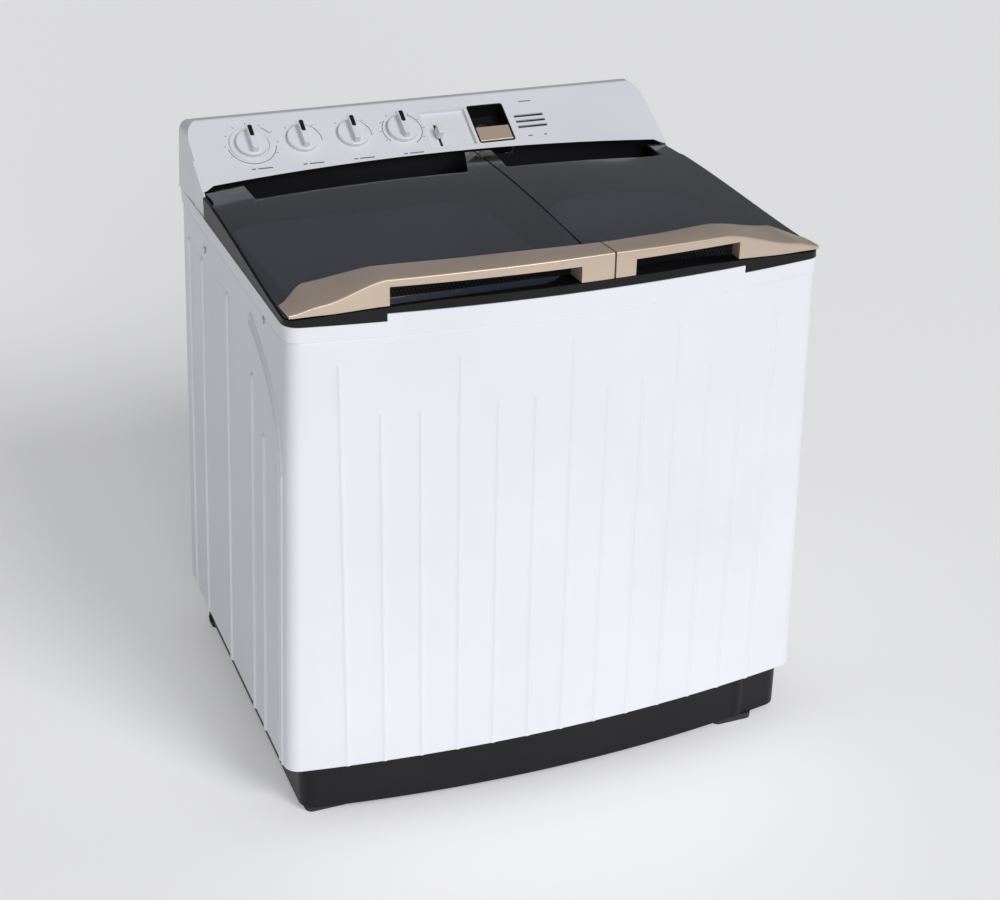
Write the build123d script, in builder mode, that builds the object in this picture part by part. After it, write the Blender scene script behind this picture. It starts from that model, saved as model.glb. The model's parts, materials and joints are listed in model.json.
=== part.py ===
"""Twin tub washing machine: wash tub on the left, spin tub on the right, one cabinet.

Millimetres, +Z up, front faces -Y. The origin is on the floor, in the middle of the
machine's overall length and depth.
"""
from build123d import *
from math import cos, radians, sin, tan
import os

# --- overall sizes -----------------------------------------------------------
FLOOR_TO_CABINET = 92.0      # plinth and feet
SEAM_Z = 842.0               # joint between cabinet and top cover
COVER_Z = 866.0              # top edge of the white top cover
WALL = 3.0                   # moulded wall of the casings
FRONT_Y = -330.5             # front corners, before the bow
REAR_Y = 371.0
HALF_BOTTOM = 471.0          # half width at the cabinet's bottom front
HALF_SEAM = 447.3            # half width at the seam
REAR_TAPER = 18.0            # each side comes in by this much at the rear
BOW_BOTTOM = 42.5            # how far the front bulges
BOW_TOP = 41.3
R_FRONT = 27.0
R_REAR = 18.0

# --- front and side ribs of the cabinet --------------------------------------
RIB_COUNT = 13
RIB_PITCH = 61.5
RIB_X0 = -3.3
RIB_TALL_Z = 806.0
RIB_SHORT_Z = 721.0
RIB_WIDTH = 11.0
RIB_HEIGHT = 1.6
SIDE_RIB_WIDTH = 14.0
SIDE_RIB_HEIGHT = 3.5
SIDE_RIBS = ((312.0, 790.0), (214.0, 787.0), (37.0, 790.0), (-126.0, 714.0),
             (-196.0, 640.0), (-268.0, 600.0))      # (depth position, top height)

# --- back panel, plinth and feet ----------------------------------------------
BACK_PANEL = (-298.0, 298.0, 117.0, 528.0)       # recess in the cabinet's back: x0, x1, z0, z1
BACK_OPENING = (-285.0, 285.0, 130.0, 515.0)
PANEL_RECESS = 1.5
SCREW_HOLE_R = 2.0
SCREW_SHANK = 4.9
GLAND_AT = (-230.0, 170.0)   # x, z
GLAND_HOLE_R = 11.1
PLINTH_HALF = 447.0
PLINTH_LOW = 12.0
PLINTH_REAR = 352.0
FOOT_POINTS = ((-400.0, -305.0), (352.0, -322.0), (-395.0, 315.0), (395.0, 315.0))
SIDE_SCREWS = ((192.0, 807.0, 435.9), (-197.5, 829.0, 444.9))    # y, z, half width there

# --- lid frame -------------------------------------------------------------------
FRAME_REAR = 245.0
FRAME_TAPER = 14.8
LIP = (-300.0, 296.0, 878.0)                     # raised front lip: x0, x1, top
TROUGH = (-422.0, 422.0, 149.0, 241.0, 850.0)    # x0, x1, y0, y1, floor
TROUGH_WALL = 3.0

# --- lids ----------------------------------------------------------------------
LID_T = 3.0
LID_HALF = 446.0
LID_SECTIONS = ((-400.0, 880.0, 899.0), (-233.0, 883.0, 908.0), (-68.5, 894.0, 920.0),
                (71.5, 902.5, 926.0), (262.0, 903.0, 925.0))   # y, side z, centre z
HINGE_Y = 170.0
HINGE_Z = 889.0
PIN_R = 3.0
PIN_BORE_R = 3.05
WASH_LEGS = ((-398.0, -384.0), (38.0, 50.0))     # hinge legs: x0, x1
SPIN_LEGS = ((66.0, 76.0), (400.0, 414.0))
WASH_PLAN = ((-460, -328), (58, -328), (58, 205), (-60, 205), (-300, 200), (-428.5, 188),
             (-428.5, 140), (-460, 60))
WASH_NOTCH = ((-363, 118), (5, 98), (47, 220), (-363, 220))
SPIN_PLAN = ((62, -328), (460, -328), (460, 60), (428.5, 140), (428.5, 188), (300, 200), (62, 205))
SPIN_NOTCH = ((80, 104), (345, 114), (390, 124), (396, 220), (93, 220))

# --- lid handles: x, low edge, crest, rear edge ------------------------------------
HANDLE_LEFT = ((-443, 880.5, 886.0, -278.0), (-395, 883.0, 899.0, -236.0), (-303, 889.5, 931.0, -283.5),
               (-150, 893.0, 933.0, -300.0), (58.5, 893.0, 935.0, -313.5))
HANDLE_RIGHT = ((61.5, 893.0, 935.0, -313.5), (150, 893.0, 934.0, -305.5), (261, 892.0, 933.0, -288.5),
                (395, 883.0, 899.0, -240.0), (443, 880.5, 886.0, -278.0))
WASH_GRIP = (-296.0, 4.0)
SPIN_GRIP = (96.0, 283.0)
GRIP_TOP = 919.0
GRIP_BACK = -329.8

# --- console --------------------------------------------------------------------
PANEL_ANGLE = 33.4           # panel slope above the horizontal
PANEL_Y = 193.5
PANEL_Z = 909.0
CONSOLE_HALF = 434.0
KNOB_X = (-326.0, -234.7, -143.4, -52.0)
KNOB_S = 90.0                # knob centres, measured up the panel
KNOB_R = 28.0
SELECTOR = (-12.0, 77.0, 40.0, 127.0)    # window in panel coordinates: x0, x1, s0, s1
INLET = (80.5, 150.0, 42.0, 129.0)
LEVER_X = 12.0
LEVER_S = 74.0
LEVER_DEPTH = -28.0
FLAP_S = 48.6
FLAP_DEPTH = -2.2
TIMER_SIZE = (54, 40)        # width and depth of the housings behind the panel
SWITCH_SIZE = (44, 34)
CONTROLS = (("wash_timer", TIMER_SIZE), ("wash_selector", SWITCH_SIZE), ("drain_selector", SWITCH_SIZE),
            ("spin_timer", TIMER_SIZE))

# --- tubs and drives --------------------------------------------------------------
WASH_X = -195.0
WASH_Y = -90.0
WASH_SIZE = 460.0
WASH_FLOOR_Z = 390.0
SPIN_X = 245.0
SPIN_Y = -60.0
SPIN_TUB_R = 165.0
SPIN_FLOOR_Z = 330.0
BASKET_R = 138.0
MOTOR_X = -330.0
PULLEY_Z = 250.0
BIG_PULLEY_R = 95.0
SMALL_PULLEY_R = 22.0
WASH_SHAFT_R = 10.0
WASH_MOTOR_SHAFT_R = 6.0
SPIN_SHAFT_R = 8.0
RUN = 0.05                   # running clearance of shafts and pins, on the radius
BRAKE_PIVOT = (SPIN_X + 95.0, SPIN_Y + 10.0)
DRAIN_X = -60.0
DRAIN_PIPE_Y = 100.0
DRAIN_PIPE_Z = 50.0
DRAIN_SPIGOT = (16.0, 18.0)  # radius, length

PANEL_PLANE = Plane(origin=(0, PANEL_Y, PANEL_Z), x_dir=(1, 0, 0),
                    z_dir=(0, -sin(radians(PANEL_ANGLE)), cos(radians(PANEL_ANGLE))))


# --- shared shapes -------------------------------------------------------------------
def outline(half, bow, inset=0.0, front=FRONT_Y, rear=REAR_Y, taper=REAR_TAPER):
    """Bow-fronted plan shape with rounded corners, drawn on XY."""
    half_front = half - inset
    half_rear = half - taper - inset
    with BuildSketch() as plan:
        with BuildLine():
            ThreePointArc((-half_front, front + inset), (0, front + inset - bow),
                          (half_front, front + inset))
            Polyline((half_front, front + inset), (half_rear, rear - inset), (-half_rear, rear - inset),
                     (-half_front, front + inset))
        make_face()
        rows = plan.vertices().group_by(Axis.Y)
        fillet(rows[0], max(R_FRONT - inset, 2.0))
        fillet(plan.vertices().group_by(Axis.Y)[-1], max(R_REAR - inset, 2.0))
    return plan.sketch


def cabinet_loft(inset, z_low, z_high):
    """Drafted cabinet block between two heights."""
    def at(z):
        k = (z - FLOOR_TO_CABINET) / (SEAM_Z - FLOOR_TO_CABINET)
        half = HALF_BOTTOM + (HALF_SEAM - HALF_BOTTOM) * k
        bow = BOW_BOTTOM + (BOW_TOP - BOW_BOTTOM) * k
        return outline(half, bow, inset)
    low, high = at(z_low), at(z_high)
    with BuildPart() as block:
        with BuildSketch(Plane.XY.offset(z_low)):
            add(low)
        with BuildSketch(Plane.XY.offset(z_high)):
            add(high)
        loft()
    return block.part


def ring(half, bow, inset_out, inset_in, z_low, z_high, rear=REAR_Y):
    """Upright wall that follows the plan shape."""
    outer = outline(half, bow, inset_out, rear=rear)
    inner = outline(half, bow, inset_in, rear=rear)
    with BuildPart() as wall:
        with BuildSketch(Plane.XY.offset(z_low)):
            add(outer)
            add(inner, mode=Mode.SUBTRACT)
        extrude(amount=z_high - z_low)
    return wall.part


def lid_layer(drop_low, drop_high, half=475.0):
    """Crowned layer that follows the lids; the drops are measured below the top surface."""
    sections = []
    for y, side, centre in LID_SECTIONS:
        edge = centre - (centre - side) * (half / LID_HALF) ** 2
        with BuildSketch(Plane.XZ.offset(-y)) as section:
            with BuildLine():
                ThreePointArc((-half, edge - drop_high), (0, centre - drop_high), (half, edge - drop_high))
                Line((half, edge - drop_high), (half, edge - drop_low))
                ThreePointArc((half, edge - drop_low), (0, centre - drop_low), (-half, edge - drop_low))
                Line((-half, edge - drop_low), (-half, edge - drop_high))
            make_face()
        sections.append(section.sketch)
    with BuildPart() as layer:
        for section in sections:
            add(section)
        loft(sections=[section.faces()[0] for section in sections])
    return layer.part


def box(x0, x1, y0, y1, z0, z1, mode=Mode.ADD):
    """Box between six coordinates, in the active part."""
    with Locations(((x0 + x1) / 2, (y0 + y1) / 2, (z0 + z1) / 2)):
        return Box(x1 - x0, y1 - y0, z1 - z0, mode=mode)


def cylinder(x, y, z0, z1, r, mode=Mode.ADD):
    """Upright cylinder between two heights, in the active part."""
    with Locations((x, y, (z0 + z1) / 2)):
        return Cylinder(r, z1 - z0, mode=mode)


def bar(x0, x1, y, z, r, mode=Mode.ADD):
    """Cylinder along X, in the active part."""
    with Locations(Location(((x0 + x1) / 2, y, z), (0, 90, 0))):
        return Cylinder(r, x1 - x0, mode=mode)


def on_panel(x, s, height=0.0):
    """Plane parallel to the console panel, centred at a point of the panel."""
    origin = PANEL_PLANE.from_local_coords((x, s, height))
    return Plane(origin=origin, x_dir=(1, 0, 0), z_dir=PANEL_PLANE.z_dir)


def lid_z(x, y=HINGE_Y):
    """Height of the lids' top surface near the hinges."""
    (y0, side0, centre0), (y1, side1, centre1) = LID_SECTIONS[-2:]
    k = (y - y0) / (y1 - y0)
    side = side0 + (side1 - side0) * k
    centre = centre0 + (centre1 - centre0) * k
    return centre - (centre - side) * (x / LID_HALF) ** 2


def front_y(x):
    """Front face of the top cover at a distance from the middle."""
    return FRONT_Y - BOW_TOP * (1 - (x / 450.0) ** 2)


# --- cabinet, plinth and feet -------------------------------------------------------
def make_cabinet():
    outer = cabinet_loft(0.0, FLOOR_TO_CABINET, SEAM_Z)
    inner = cabinet_loft(WALL, FLOOR_TO_CABINET + WALL, SEAM_Z)
    front_ribs = cabinet_ribs(RIB_HEIGHT, front_rib_bars())
    side_ribs = cabinet_ribs(SIDE_RIB_HEIGHT, side_rib_bars())
    flange = outline(HALF_BOTTOM, BOW_BOTTOM, inset=46.0)
    with BuildPart() as cabinet:
        add(outer)
        add(front_ribs)
        add(side_ribs)
        add(inner, mode=Mode.SUBTRACT)
        with BuildSketch(Plane.XY.offset(FLOOR_TO_CABINET)):
            add(flange)
        extrude(amount=WALL + 1, mode=Mode.SUBTRACT)
        back_box(BACK_PANEL, PANEL_RECESS, Mode.SUBTRACT)
        back_box(BACK_OPENING, 10, Mode.SUBTRACT)
        for x, z in back_screw_points():
            with Locations(Location((x, REAR_Y, z), (90, 0, 0))):
                Cylinder(SCREW_HOLE_R, 12, mode=Mode.SUBTRACT)
    return cabinet


def back_box(area, depth, mode):
    """Box cut into the cabinet's back, in the active part."""
    x0, x1, z0, z1 = area
    box(x0, x1, REAR_Y - depth, REAR_Y + 1, z0, z1, mode=mode)


def front_rib_bars():
    """Bars with rounded tops where the front ribs stand."""
    with BuildPart() as bars:
        with BuildSketch(Plane.XZ.offset(250)):
            for i in range(RIB_COUNT):
                top = RIB_TALL_Z if i % 3 == 0 else RIB_SHORT_Z
                with Locations((RIB_X0 + (i - RIB_COUNT // 2) * RIB_PITCH, top / 2)):
                    SlotOverall(top, RIB_WIDTH, rotation=90)
        extrude(amount=200)
    return bars.part


def side_rib_bars():
    """Bars with rounded tops where the ribs of both sides stand."""
    with BuildPart() as bars:
        with BuildSketch(Plane.YZ.offset(-500)):
            for y, top in SIDE_RIBS:
                with Locations((y, top / 2)):
                    SlotOverall(top, SIDE_RIB_WIDTH, rotation=90)
        extrude(amount=1000)
    return bars.part


def cabinet_ribs(height, bars):
    """Part of the bars between the cabinet's surface and a surface that stands proud of it."""
    with BuildPart() as ribs:
        add(cabinet_loft(-height, FLOOR_TO_CABINET, SEAM_Z))
        add(bars, mode=Mode.INTERSECT)
    return ribs.part


def back_screw_points():
    columns = [(x, z) for x in (-291.5, 291.5) for z in (140, 322, 500)]
    return columns + [(x, 521.5) for x in (-140, 140)]


def make_back_panel():
    x0, x1, z0, z1 = BACK_PANEL
    with BuildPart() as back_panel:
        box(x0 + 0.5, x1 - 0.5, REAR_Y - PANEL_RECESS, REAR_Y - 0.3, z0 + 0.5, z1 - 0.5)
        with BuildSketch(Plane.XZ.offset(-REAR_Y)):
            with GridLocations(0, 16, 1, 8):
                with Locations((0, 400)):
                    SlotOverall(220, 6)
            with Locations(*back_screw_points()):
                Circle(SCREW_HOLE_R)
            with Locations(GLAND_AT):
                Circle(GLAND_HOLE_R)
        extrude(amount=6, both=True, mode=Mode.SUBTRACT)
    return back_panel


def make_cord_gland():
    body = (GLAND_HOLE_R - 0.1, REAR_Y - 6, REAR_Y)
    head = (15.0, REAR_Y - 0.3, REAR_Y + 3.6)
    with BuildPart() as cord_gland:
        for radius, y0, y1 in (body, head):
            with BuildSketch(Plane.XZ.offset(-y1)):
                with Locations(GLAND_AT):
                    Circle(radius)
            extrude(amount=y1 - y0)
        with BuildSketch(Plane.XZ.offset(-(REAR_Y + 4))):
            with Locations(GLAND_AT):
                Circle(4.2)
        extrude(amount=12, mode=Mode.SUBTRACT)
    return cord_gland


def make_plinth():
    low, high = PLINTH_LOW, FLOOR_TO_CABINET
    outer = outline(PLINTH_HALF, 42.0, front=FRONT_Y + 3, rear=PLINTH_REAR, taper=17.0)
    inner = outline(PLINTH_HALF, 42.0, inset=4.0, front=FRONT_Y + 3, rear=PLINTH_REAR, taper=17.0)
    with BuildPart() as plinth:
        with BuildSketch(Plane.XY.offset(low)):
            add(outer)
        extrude(amount=high - low)
        with BuildSketch(Plane.XY.offset(low)):
            add(inner)
        extrude(amount=high - low - 5, mode=Mode.SUBTRACT)
        for x in (-220, 0, 220):
            box(x - 2, x + 2, -330, 350, 40, high - 4)
        for x, y in FOOT_POINTS:
            cylinder(x, y, low, high - 4, 24)
            cylinder(x, y, low - 1, 40, 6.0, mode=Mode.SUBTRACT)
        box(-110, 90, -160, 60, 30, high + 1, mode=Mode.SUBTRACT)
        with BuildSketch(Plane.XY.offset(high)):
            with Locations((DRAIN_X, DRAIN_PIPE_Y)):
                Circle(22)
        extrude(amount=-8, mode=Mode.SUBTRACT)
        with BuildSketch(Plane.XZ.offset(-340)):
            with Locations((DRAIN_X, DRAIN_PIPE_Z)):
                Circle(17)
        extrude(amount=-30, mode=Mode.SUBTRACT)
    return plinth


def make_feet():
    with BuildPart() as feet:
        for x, y in FOOT_POINTS:
            with BuildSketch():
                with Locations((x, y)):
                    RectangleRounded(76, 40, 12)
            extrude(amount=12, taper=-4)
            cylinder(x, y, 6, 30, 5.9)
    return feet


def make_screws():
    """Capped screws of the sides and self-tapping screws of the back panel."""
    with BuildPart() as screws:
        for y, z, half in SIDE_SCREWS:
            for side in (-1, 1):
                start, end = side * half, side * (half + 1.8)
                bar(min(start, end), max(start, end), y, z, 6.0)
        for x, z in back_screw_points():
            with BuildSketch(Plane.XZ.offset(-(REAR_Y - 0.3))):
                with Locations((x, z)):
                    Circle(4.5)
            extrude(amount=-2.3)
            with BuildSketch(Plane.XZ.offset(-(REAR_Y - 0.3))):
                with Locations((x, z)):
                    Circle(SCREW_HOLE_R - 0.1)
            extrude(amount=SCREW_SHANK)
    return screws


# --- top cover and lid frame -----------------------------------------------------------
def make_top_cover():
    flange = outline(450.0, BOW_TOP)
    opening = outline(450.0, BOW_TOP, inset=24.0)
    with BuildPart() as top_cover:
        add(ring(450.0, BOW_TOP, 0.0, WALL, SEAM_Z, COVER_Z))
        add(ring(450.0, BOW_TOP, 6.2, 8.7, SEAM_Z - 16, COVER_Z - 3))
        with BuildSketch(Plane.XY.offset(COVER_Z - 3)):
            add(flange)
            add(opening, mode=Mode.SUBTRACT)
        extrude(amount=3)
        box(-420, 420, FRAME_REAR, 352, COVER_Z - 3, COVER_Z)
        box(-60, 180, 262, 340, COVER_Z - 4, COVER_Z + 1, mode=Mode.SUBTRACT)
        box(-420, -90, 262, 340, COVER_Z - 4, COVER_Z + 1, mode=Mode.SUBTRACT)
        box(-425.5, 425.5, 145.5, 244.6, SEAM_Z, COVER_Z + 1, mode=Mode.SUBTRACT)
        add(front_lip(0.0, WALL, LIP[2], 0.0))
    return top_cover


def front_lip(inset_out, inset_in, top, grow):
    """Strip of the front wall that stands up behind the grips."""
    wall = ring(450.0, BOW_TOP, inset_out, inset_in, COVER_Z - grow, top)
    with BuildPart() as lip:
        add(wall)
        box(LIP[0] - grow, LIP[1] + grow, -400, -250, COVER_Z - 10, top + 1, mode=Mode.INTERSECT)
    return lip.part


def make_lid_frame():
    plan = outline(450.0, BOW_TOP, inset=1.0, rear=FRAME_REAR, taper=FRAME_TAPER)
    inner = outline(450.0, BOW_TOP, inset=6.0, rear=FRAME_REAR, taper=FRAME_TAPER)
    above = lid_layer(LID_T + 0.6, -90.0)
    x0, x1, y0, y1, floor = TROUGH
    with BuildPart() as lid_frame:
        with BuildSketch(Plane.XY.offset(COVER_Z)):
            add(plan)
        extrude(amount=69)
        with BuildSketch(Plane.XY.offset(COVER_Z + 4)):
            add(inner)
        extrude(amount=80, mode=Mode.SUBTRACT)
        box(58, 62, -345, 146, COVER_Z + 4, 940)
        box(x0 - TROUGH_WALL, x1 + TROUGH_WALL, y0 - TROUGH_WALL, y1 + TROUGH_WALL, floor - 4, COVER_Z + 4)
        box(x0 - TROUGH_WALL, x1 + TROUGH_WALL, y1, y1 + TROUGH_WALL, COVER_Z, 924)
        box(INLET[0] - 4, INLET[1] + 4, y1 - 1, y1 + TROUGH_WALL + 1, 903, 930, mode=Mode.SUBTRACT)
        add(above, mode=Mode.SUBTRACT)
        cut_front_wall()
        box(x0, x1, y0, y1, floor, 960, mode=Mode.SUBTRACT)
        for side in (-1, 1):
            low, high = sorted((side * 430.0, side * 460.0))
            box(low, high, 184, 260, COVER_Z - 1, 960, mode=Mode.SUBTRACT)
        with BuildSketch(Plane.XY.offset(COVER_Z)):
            with Locations((-195, -87.5)):
                RectangleRounded(436, 425, 60)
            with Locations((SPIN_X, SPIN_Y)):
                Circle(148)
        extrude(amount=10, both=True, mode=Mode.SUBTRACT)
        add(front_lip(-1.0, WALL + 0.4, LIP[2] + 0.6, 0.6), mode=Mode.SUBTRACT)
        for leg0, leg1 in WASH_LEGS + SPIN_LEGS:
            for start in (leg0 - 6.5, leg1 + 0.5):
                box(start, start + 6, HINGE_Y - 10, HINGE_Y + 10, floor - 1, HINGE_Z + 8)
                bar(start - 1, start + 7, HINGE_Y, HINGE_Z, PIN_R, mode=Mode.SUBTRACT)
    return lid_frame


def cut_front_wall():
    """Trim the active part's front wall to the line under the handles."""
    with BuildSketch(Plane.XZ.offset(325), mode=Mode.PRIVATE) as line:
        Polygon((-460, 877.5), (-304, 888.5), (-304, 892), (294, 892), (294, 888.5), (460, 877.5),
                (460, 960), (-460, 960), align=None)
    extrude(line.sketch, amount=100, mode=Mode.SUBTRACT)


# --- lids ------------------------------------------------------------------------------------
def make_lid(plan, notch, legs):
    slab = lid_layer(LID_T, 0.0)
    footprint = outline(450.0, BOW_TOP, inset=4.0)
    with BuildPart() as lid:
        with BuildSketch(Plane.XY.offset(850)):
            add(footprint)
            Polygon(*plan, align=None, mode=Mode.INTERSECT)
            Polygon(*notch, align=None, mode=Mode.SUBTRACT)
        extrude(amount=100)
        add(slab, mode=Mode.INTERSECT)
        for leg0, leg1 in legs:
            top = lid_z((leg0 + leg1) / 2) - 1.2
            box(leg0, leg1, HINGE_Y - 7, HINGE_Y + 7, HINGE_Z, top)
            bar(leg0, leg1, HINGE_Y, HINGE_Z, 7.0)
            bar(leg0 - 1, leg1 + 1, HINGE_Y, HINGE_Z, PIN_BORE_R, mode=Mode.SUBTRACT)
    return lid


def make_wash_lid():
    return make_lid(WASH_PLAN, WASH_NOTCH, WASH_LEGS)


def make_spin_lid():
    return make_lid(SPIN_PLAN, SPIN_NOTCH, SPIN_LEGS)


def make_handle(stations, grip):
    under = lid_layer(90.0, -0.3)
    sections = []
    for x, low, crest, rear in stations:
        front = front_y(x) + 1.0
        with BuildSketch(Plane.YZ.offset(x)) as section:
            Polygon((front, low), (front, crest), (rear, crest - 2), (rear + 3, low - 30), (-329, low - 30),
                    (-329, low), align=None)
        sections.append(section.sketch.faces()[0])
    with BuildPart() as below:
        add(under)
        box(-480, 480, -329, 100, 700, 960, mode=Mode.INTERSECT)
    with BuildPart() as handle:
        loft(sections=sections, ruled=True)
        add(below.part, mode=Mode.SUBTRACT)
        box(grip[0], grip[1], -420, GRIP_BACK, 870, GRIP_TOP, mode=Mode.SUBTRACT)
    return handle


def make_wash_lid_handle():
    return make_handle(HANDLE_LEFT, WASH_GRIP)


def make_spin_lid_handle():
    return make_handle(HANDLE_RIGHT, SPIN_GRIP)


def make_grip_liner(grip):
    with BuildPart() as liner:
        box(grip[0] + 0.2, grip[1] - 0.2, GRIP_BACK - 3.0, GRIP_BACK - 0.2, 893.5, GRIP_TOP - 0.2)
    return liner


def make_hinge_pins():
    with BuildPart() as pins:
        for leg0, leg1 in WASH_LEGS + SPIN_LEGS:
            bar(leg0 - 6.5, leg1 + 6.5, HINGE_Y, HINGE_Z, PIN_R)
    return pins


# --- console -----------------------------------------------------------------------------------
def console_block(points, half, top, radius):
    """Console volume: side profile crossed with the rounded front view."""
    with BuildPart() as block:
        with BuildSketch(Plane.YZ.offset(-half)) as profile:
            Polygon(*points, align=None)
            fillet(profile.vertices().filter_by(lambda v: v.Y > 980), 9.0)
        extrude(amount=2 * half)
        with BuildSketch(Plane.XZ.offset(-400)) as front:
            Polygon((-half, 800), (half, 800), (half - 4, top), (-half + 4, top), align=None)
            fillet(front.vertices().filter_by(lambda v: v.Y > 900), radius)
        extrude(amount=300, mode=Mode.INTERSECT)
    return block.part


def panel_under(y):
    """Underside of the console panel at a depth."""
    return PANEL_Z - WALL / cos(radians(PANEL_ANGLE)) + (y - PANEL_Y) * tan(radians(PANEL_ANGLE))


def make_console():
    rise = tan(radians(PANEL_ANGLE))
    outside = ((PANEL_Y, PANEL_Z), (322, PANEL_Z + (322 - PANEL_Y) * rise), (352, 990), (368, COVER_Z),
               (247, COVER_Z), (247, panel_under(247)), (195.2, panel_under(195.2)))
    inside = ((245, COVER_Z - 1), (245, panel_under(245)), (320.5, panel_under(320.5)), (349, 986.5),
              (365, COVER_Z - 1))
    shell = console_block(outside, CONSOLE_HALF, 994.0, 26.0)
    cavity = console_block(inside, CONSOLE_HALF - WALL, 991.0, 23.0)
    with BuildPart() as console:
        add(shell)
        add(cavity, mode=Mode.SUBTRACT)
        with BuildSketch(Plane.XZ.offset(-180)):
            with BuildLine():
                ThreePointArc((-412, 914.5), (0, 926), (412, 914.5))
                Polyline((412, 914.5), (440, 904), (440, 880), (-440, 880), (-440, 904), (-412, 914.5))
            make_face()
        extrude(amount=-66, mode=Mode.SUBTRACT)
        with BuildSketch(Plane.YZ.offset(-CONSOLE_HALF)):
            add_cheek_profile()
        extrude(amount=WALL)
        with BuildSketch(Plane.YZ.offset(CONSOLE_HALF - WALL)):
            add_cheek_profile()
        extrude(amount=WALL)
        cut_panel_windows()
    return console


def add_cheek_profile():
    Polygon((186, COVER_Z), (186, 904), (PANEL_Y, PANEL_Z), (250, panel_under(250) + 3.0), (250, COVER_Z),
            align=None)


def cut_panel_windows():
    """Openings of the panel for knobs, selector, inlet and drain slots."""
    with BuildSketch(PANEL_PLANE, mode=Mode.PRIVATE) as windows:
        with Locations(*[(x, KNOB_S) for x in KNOB_X]):
            Circle(4.0)
        for x0, x1, s0, s1 in (SELECTOR, INLET):
            with Locations(((x0 + x1) / 2, (s0 + s1) / 2)):
                RectangleRounded(x1 - x0, s1 - s0, 5)
        for i in range(3):
            with Locations((191.5, 70 + 12.5 * i)):
                RectangleRounded(57, 6.0, 1.5)
    extrude(windows.sketch, amount=12, both=True, mode=Mode.SUBTRACT)


def make_selector_bezel():
    x0, x1, s0, s1 = SELECTOR
    cx, cs = (x0 + x1) / 2, (s0 + s1) / 2
    with BuildPart() as selector_bezel:
        with BuildSketch(on_panel(cx, cs)):
            RectangleRounded(x1 - x0 - 0.4, s1 - s0 - 0.4, 4.8)
        extrude(amount=-9)
        with BuildSketch(on_panel(cx, cs)):
            RectangleRounded(x1 - x0 - 4.4, s1 - s0 - 4.4, 3.0)
        extrude(amount=-6.5, mode=Mode.SUBTRACT)
        with BuildSketch(on_panel(LEVER_X, LEVER_S)):
            SlotOverall(50, 5.2, rotation=90)
        extrude(amount=-12, mode=Mode.SUBTRACT)
        for side in (-1, 1):
            with BuildSketch(on_panel(LEVER_X + side * 10.0, LEVER_S, -9)):
                Rectangle(4, 16)
            extrude(amount=-26)
        with Locations(lever_axis()):
            Cylinder(2.0, 40, mode=Mode.SUBTRACT)
    return selector_bezel


def lever_axis():
    """Location of the water lever's pivot."""
    point = PANEL_PLANE.from_local_coords((LEVER_X, LEVER_S, LEVER_DEPTH))
    return Location(point, (0, 90, 0))


def make_selector_lever():
    with BuildPart() as selector_lever:
        with BuildSketch(on_panel(LEVER_X, LEVER_S, LEVER_DEPTH)):
            Rectangle(4.2, 6)
        extrude(amount=30)
        with BuildSketch(on_panel(LEVER_X, LEVER_S, -1.5)):
            RectangleRounded(13, 22, 5)
        extrude(amount=15, taper=6)
        fillet(selector_lever.faces().sort_by(lambda f: f.center().dot(PANEL_PLANE.z_dir))[-1].edges(), 2.0)
        with Locations(lever_axis()):
            Cylinder(5.0, 14)
        with Locations(lever_axis()):
            Cylinder(2.05, 40, mode=Mode.SUBTRACT)
    return selector_lever


def make_inlet_liner():
    x0, x1, s0, s1 = INLET
    cx, cs = (x0 + x1) / 2, (s0 + s1) / 2
    with BuildPart() as inlet_liner:
        with BuildSketch(on_panel(cx, cs)):
            RectangleRounded(x1 - x0 - 0.4, s1 - s0 - 0.4, 4.8)
        extrude(amount=-34)
        with BuildSketch(on_panel(cx, cs)):
            RectangleRounded(x1 - x0 - 5.4, s1 - s0 - 5.4, 3.0)
        extrude(amount=-31.5, mode=Mode.SUBTRACT)
        with BuildSketch(on_panel(cx, cs)):
            with Locations((0, 14)):
                Circle(14)
        extrude(amount=-40, mode=Mode.SUBTRACT)
        with Locations(flap_axis()):
            Cylinder(1.0, x1 - x0 + 2, mode=Mode.SUBTRACT)
    return inlet_liner


def flap_axis():
    """Location of the inlet flap's hinge."""
    point = PANEL_PLANE.from_local_coords(((INLET[0] + INLET[1]) / 2, FLAP_S, FLAP_DEPTH))
    return Location(point, (0, 90, 0))


def make_inlet_flap():
    x0, x1 = INLET[0] + 3.6, INLET[1] - 3.6
    centre = (x0 + x1) / 2
    with BuildPart() as inlet_flap:
        with BuildSketch(on_panel(centre, FLAP_S, FLAP_DEPTH - 1.2)):
            with Locations((0, 15)):
                Rectangle(x1 - x0, 30)
        extrude(amount=2.4)
        with Locations(flap_axis()):
            Cylinder(2.0, x1 - x0)
        with Locations(flap_axis()):
            Cylinder(1.05, 90, mode=Mode.SUBTRACT)
    return inlet_flap


def make_console_pins():
    with BuildPart() as console_pins:
        with Locations(flap_axis()):
            Cylinder(1.0, INLET[1] - INLET[0] - 0.8)
        with Locations(lever_axis()):
            Cylinder(2.0, 24)
    return console_pins


def make_water_diverter():
    with BuildPart() as water_diverter:
        box(84, 146, 264, 336, COVER_Z - 12, 896)
        box(87, 143, 267, 333, COVER_Z - 9, 897, mode=Mode.SUBTRACT)
        cylinder(100, 300, COVER_Z - 30, COVER_Z - 9, 10)
        cylinder(130, 300, COVER_Z - 30, COVER_Z - 9, 10)
        cylinder(100, 300, COVER_Z - 31, COVER_Z, 8, mode=Mode.SUBTRACT)
        cylinder(130, 300, COVER_Z - 31, COVER_Z, 8, mode=Mode.SUBTRACT)
    return water_diverter


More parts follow.
